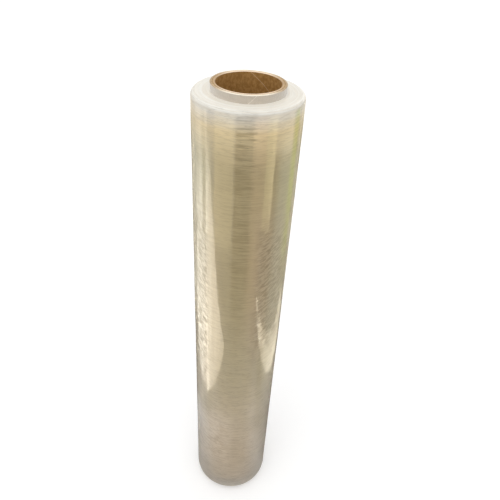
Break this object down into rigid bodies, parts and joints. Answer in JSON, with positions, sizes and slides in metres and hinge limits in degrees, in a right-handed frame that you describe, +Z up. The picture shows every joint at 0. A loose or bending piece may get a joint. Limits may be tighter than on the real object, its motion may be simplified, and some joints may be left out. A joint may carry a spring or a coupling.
{
  "type": "stretch wrap roll",
  "caption": "Roll of clear stretch wrap film wound on a spiral paperboard tube that stands a little past the film at both ends.",
  "frame": {"origin": "on the roll's axis, in the plane of the core's lower rim, which stands on the floor", "axes": "+Z up along the roll's axis; -Y faces the viewer; +X to the viewer's right"},
  "size_m": [0.0875, 0.0871, 0.512],
  "materials": {
    "paperboard": "matte",
    "film": "gloss"
  },
  "bodies": {
    "root": {"core": "paperboard", "film": "film"}
  },
  "joints": []
}
